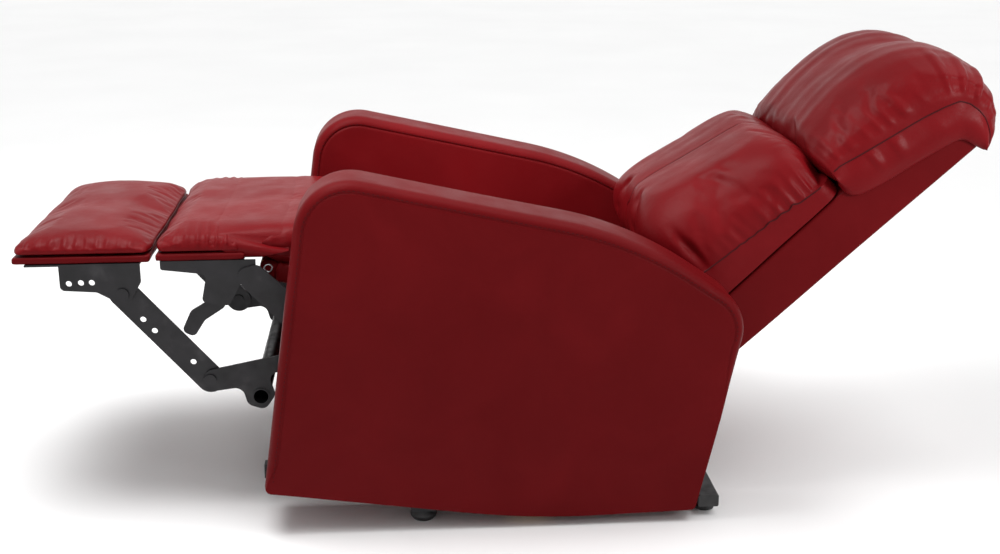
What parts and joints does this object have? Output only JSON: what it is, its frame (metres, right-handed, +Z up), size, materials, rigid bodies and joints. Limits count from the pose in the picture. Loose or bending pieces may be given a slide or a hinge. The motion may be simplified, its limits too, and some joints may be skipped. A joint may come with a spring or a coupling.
{
  "type": "lift chair",
  "caption": "Padded lift recliner shown reclined: leaning arms, cushioned back that swings upright, leg and foot rest on folding links, body on a powered lift base.",
  "frame": {"origin": "middle of the footprint of the reclined chair, on the floor", "axes": "+X to the sitter's left, -Y to the front where the foot rest is, +Z up"},
  "size_m": [0.69, 1.6084, 0.7681],
  "materials": {
    "red_cover": "satin",
    "red_cushion": "satin",
    "red_board": "satin",
    "black_steel": "satin",
    "bright_steel": "satin",
    "grey_alloy": "satin",
    "black_plastic": "matte",
    "timber": "matte",
    "webbing": "matte"
  },
  "bodies": {
    "base": {"base_rail_left": "black_steel", "base_rail_right": "black_steel", "base_front_strap": "black_steel", "base_toe_strap": "black_steel", "base_rear_tube": "black_steel", "rear_tube_caps": "black_plastic", "dome_glides": "black_plastic", "rear_feet": "black_plastic", "lift_brackets": "black_steel", "actuator_bracket": "black_steel"},
    "lift_arms": {"lift_arm_left": "black_steel", "lift_arm_right": "black_steel", "lift_shaft": "bright_steel", "lift_crank": "black_steel"},
    "lift_links": {"lift_link_left": "black_steel", "lift_link_right": "black_steel", "link_shaft": "bright_steel"},
    "actuator": {"actuator_housing": "black_plastic", "actuator_tube": "grey_alloy"},
    "rod": {"actuator_rod": "bright_steel"},
    "chassis": {"carriage_left": "black_steel", "carriage_right": "black_steel", "carriage_pins": "black_steel", "front_cross_rail": "black_steel", "rear_cross_rail": "black_steel", "mechanism_plate_left": "black_steel", "mechanism_plate_right": "black_steel", "pivot_pins": "black_steel", "seat_front_rail": "timber", "seat_rear_rail": "timber", "seat_support": "timber", "seat_side_rails": "timber", "seat_webbing": "webbing", "seat_cushion": "red_cushion", "arm_cover_left": "red_cover", "arm_cover_right": "red_cover", "arm_frame_left": "timber", "arm_frame_right": "timber"},
    "back": {"back_shell": "red_cover", "back_frame": "timber", "back_brackets": "black_steel", "back_flap": "red_cover", "back_cushion": "red_cushion", "head_cushion": "red_cushion"},
    "lower_links": {"lower_link_left": "black_steel", "lower_link_right": "black_steel", "drive_tube": "black_steel", "lower_rivets": "black_steel"},
    "long_links": {"long_link_left": "black_steel", "long_link_right": "black_steel"},
    "foot_rest": {"foot_bracket_left": "black_steel", "foot_bracket_right": "black_steel", "foot_rivets": "black_steel", "foot_board": "red_board", "foot_cushion": "red_cushion"},
    "leg_rest": {"leg_bracket_left": "black_steel", "leg_bracket_right": "black_steel", "leg_props": "black_steel", "leg_board": "red_board", "leg_cushion": "red_cushion"}
  },
  "joints": [
    {"name": "lift", "type": "hinge", "parent": "base", "child": "lift_arms", "pos_m": [0, -0.342, 0.052], "axis": [1, 0, 0], "range_deg": [0, 40]},
    {"name": "body_tilt", "type": "hinge", "parent": "lift_arms", "child": "chassis", "pos_m": [0, 0.078, 0.05998], "axis": [1, 0, 0], "range_deg": [-8, 0]},
    {"name": "lift_link_swing", "type": "hinge", "parent": "base", "child": "lift_links", "pos_m": [0, -0.3936, 0.058], "axis": [1, 0, 0], "range_deg": [0, 45.63]},
    {"name": "actuator_swing", "type": "hinge", "parent": "base", "child": "actuator", "pos_m": [0, 0.26097, 0.1], "axis": [1, 0, 0], "range_deg": [0, 2.04]},
    {"name": "rod_slide", "type": "slide", "parent": "actuator", "child": "rod", "axis": [0, -0.9998, 0.0205], "range_m": [0, 0.03591]},
    {"name": "recline", "type": "hinge", "parent": "chassis", "child": "back", "pos_m": [0, 0.2179, 0.18816], "axis": [1, 0, 0], "range_deg": [0, 27]},
    {"name": "footrest", "type": "hinge", "parent": "chassis", "child": "lower_links", "pos_m": [0, -0.33002, 0.26799], "axis": [1, 0, 0], "range_deg": [0, 100.8]},
    {"name": "long_link_swing", "type": "hinge", "parent": "lower_links", "child": "long_links", "pos_m": [0, -0.50202, 0.22799], "axis": [1, 0, 0], "range_deg": [-82.4, 0]},
    {"name": "foot_rest_swing", "type": "hinge", "parent": "long_links", "child": "foot_rest", "pos_m": [0, -0.63202, 0.37799], "axis": [1, 0, 0], "range_deg": [0, 65.6]},
    {"name": "leg_rest_swing", "type": "hinge", "parent": "chassis", "child": "leg_rest", "pos_m": [0, -0.43202, 0.40805], "axis": [1, 0, 0], "range_deg": [0, 84]}
  ],
  "couplings": [
    {"joint": "body_tilt", "follows": "lift", "ratio": -0.2},
    {"joint": "lift_link_swing", "follows": "lift", "ratio": 1.1409},
    {"joint": "actuator_swing", "follows": "lift", "ratio": 0.051004},
    {"joint": "rod_slide", "follows": "lift", "m_per_rad": 0.051438},
    {"joint": "long_link_swing", "follows": "footrest", "ratio": -0.81746},
    {"joint": "foot_rest_swing", "follows": "footrest", "ratio": 0.65079},
    {"joint": "leg_rest_swing", "follows": "footrest", "ratio": 0.83333}
  ]
}
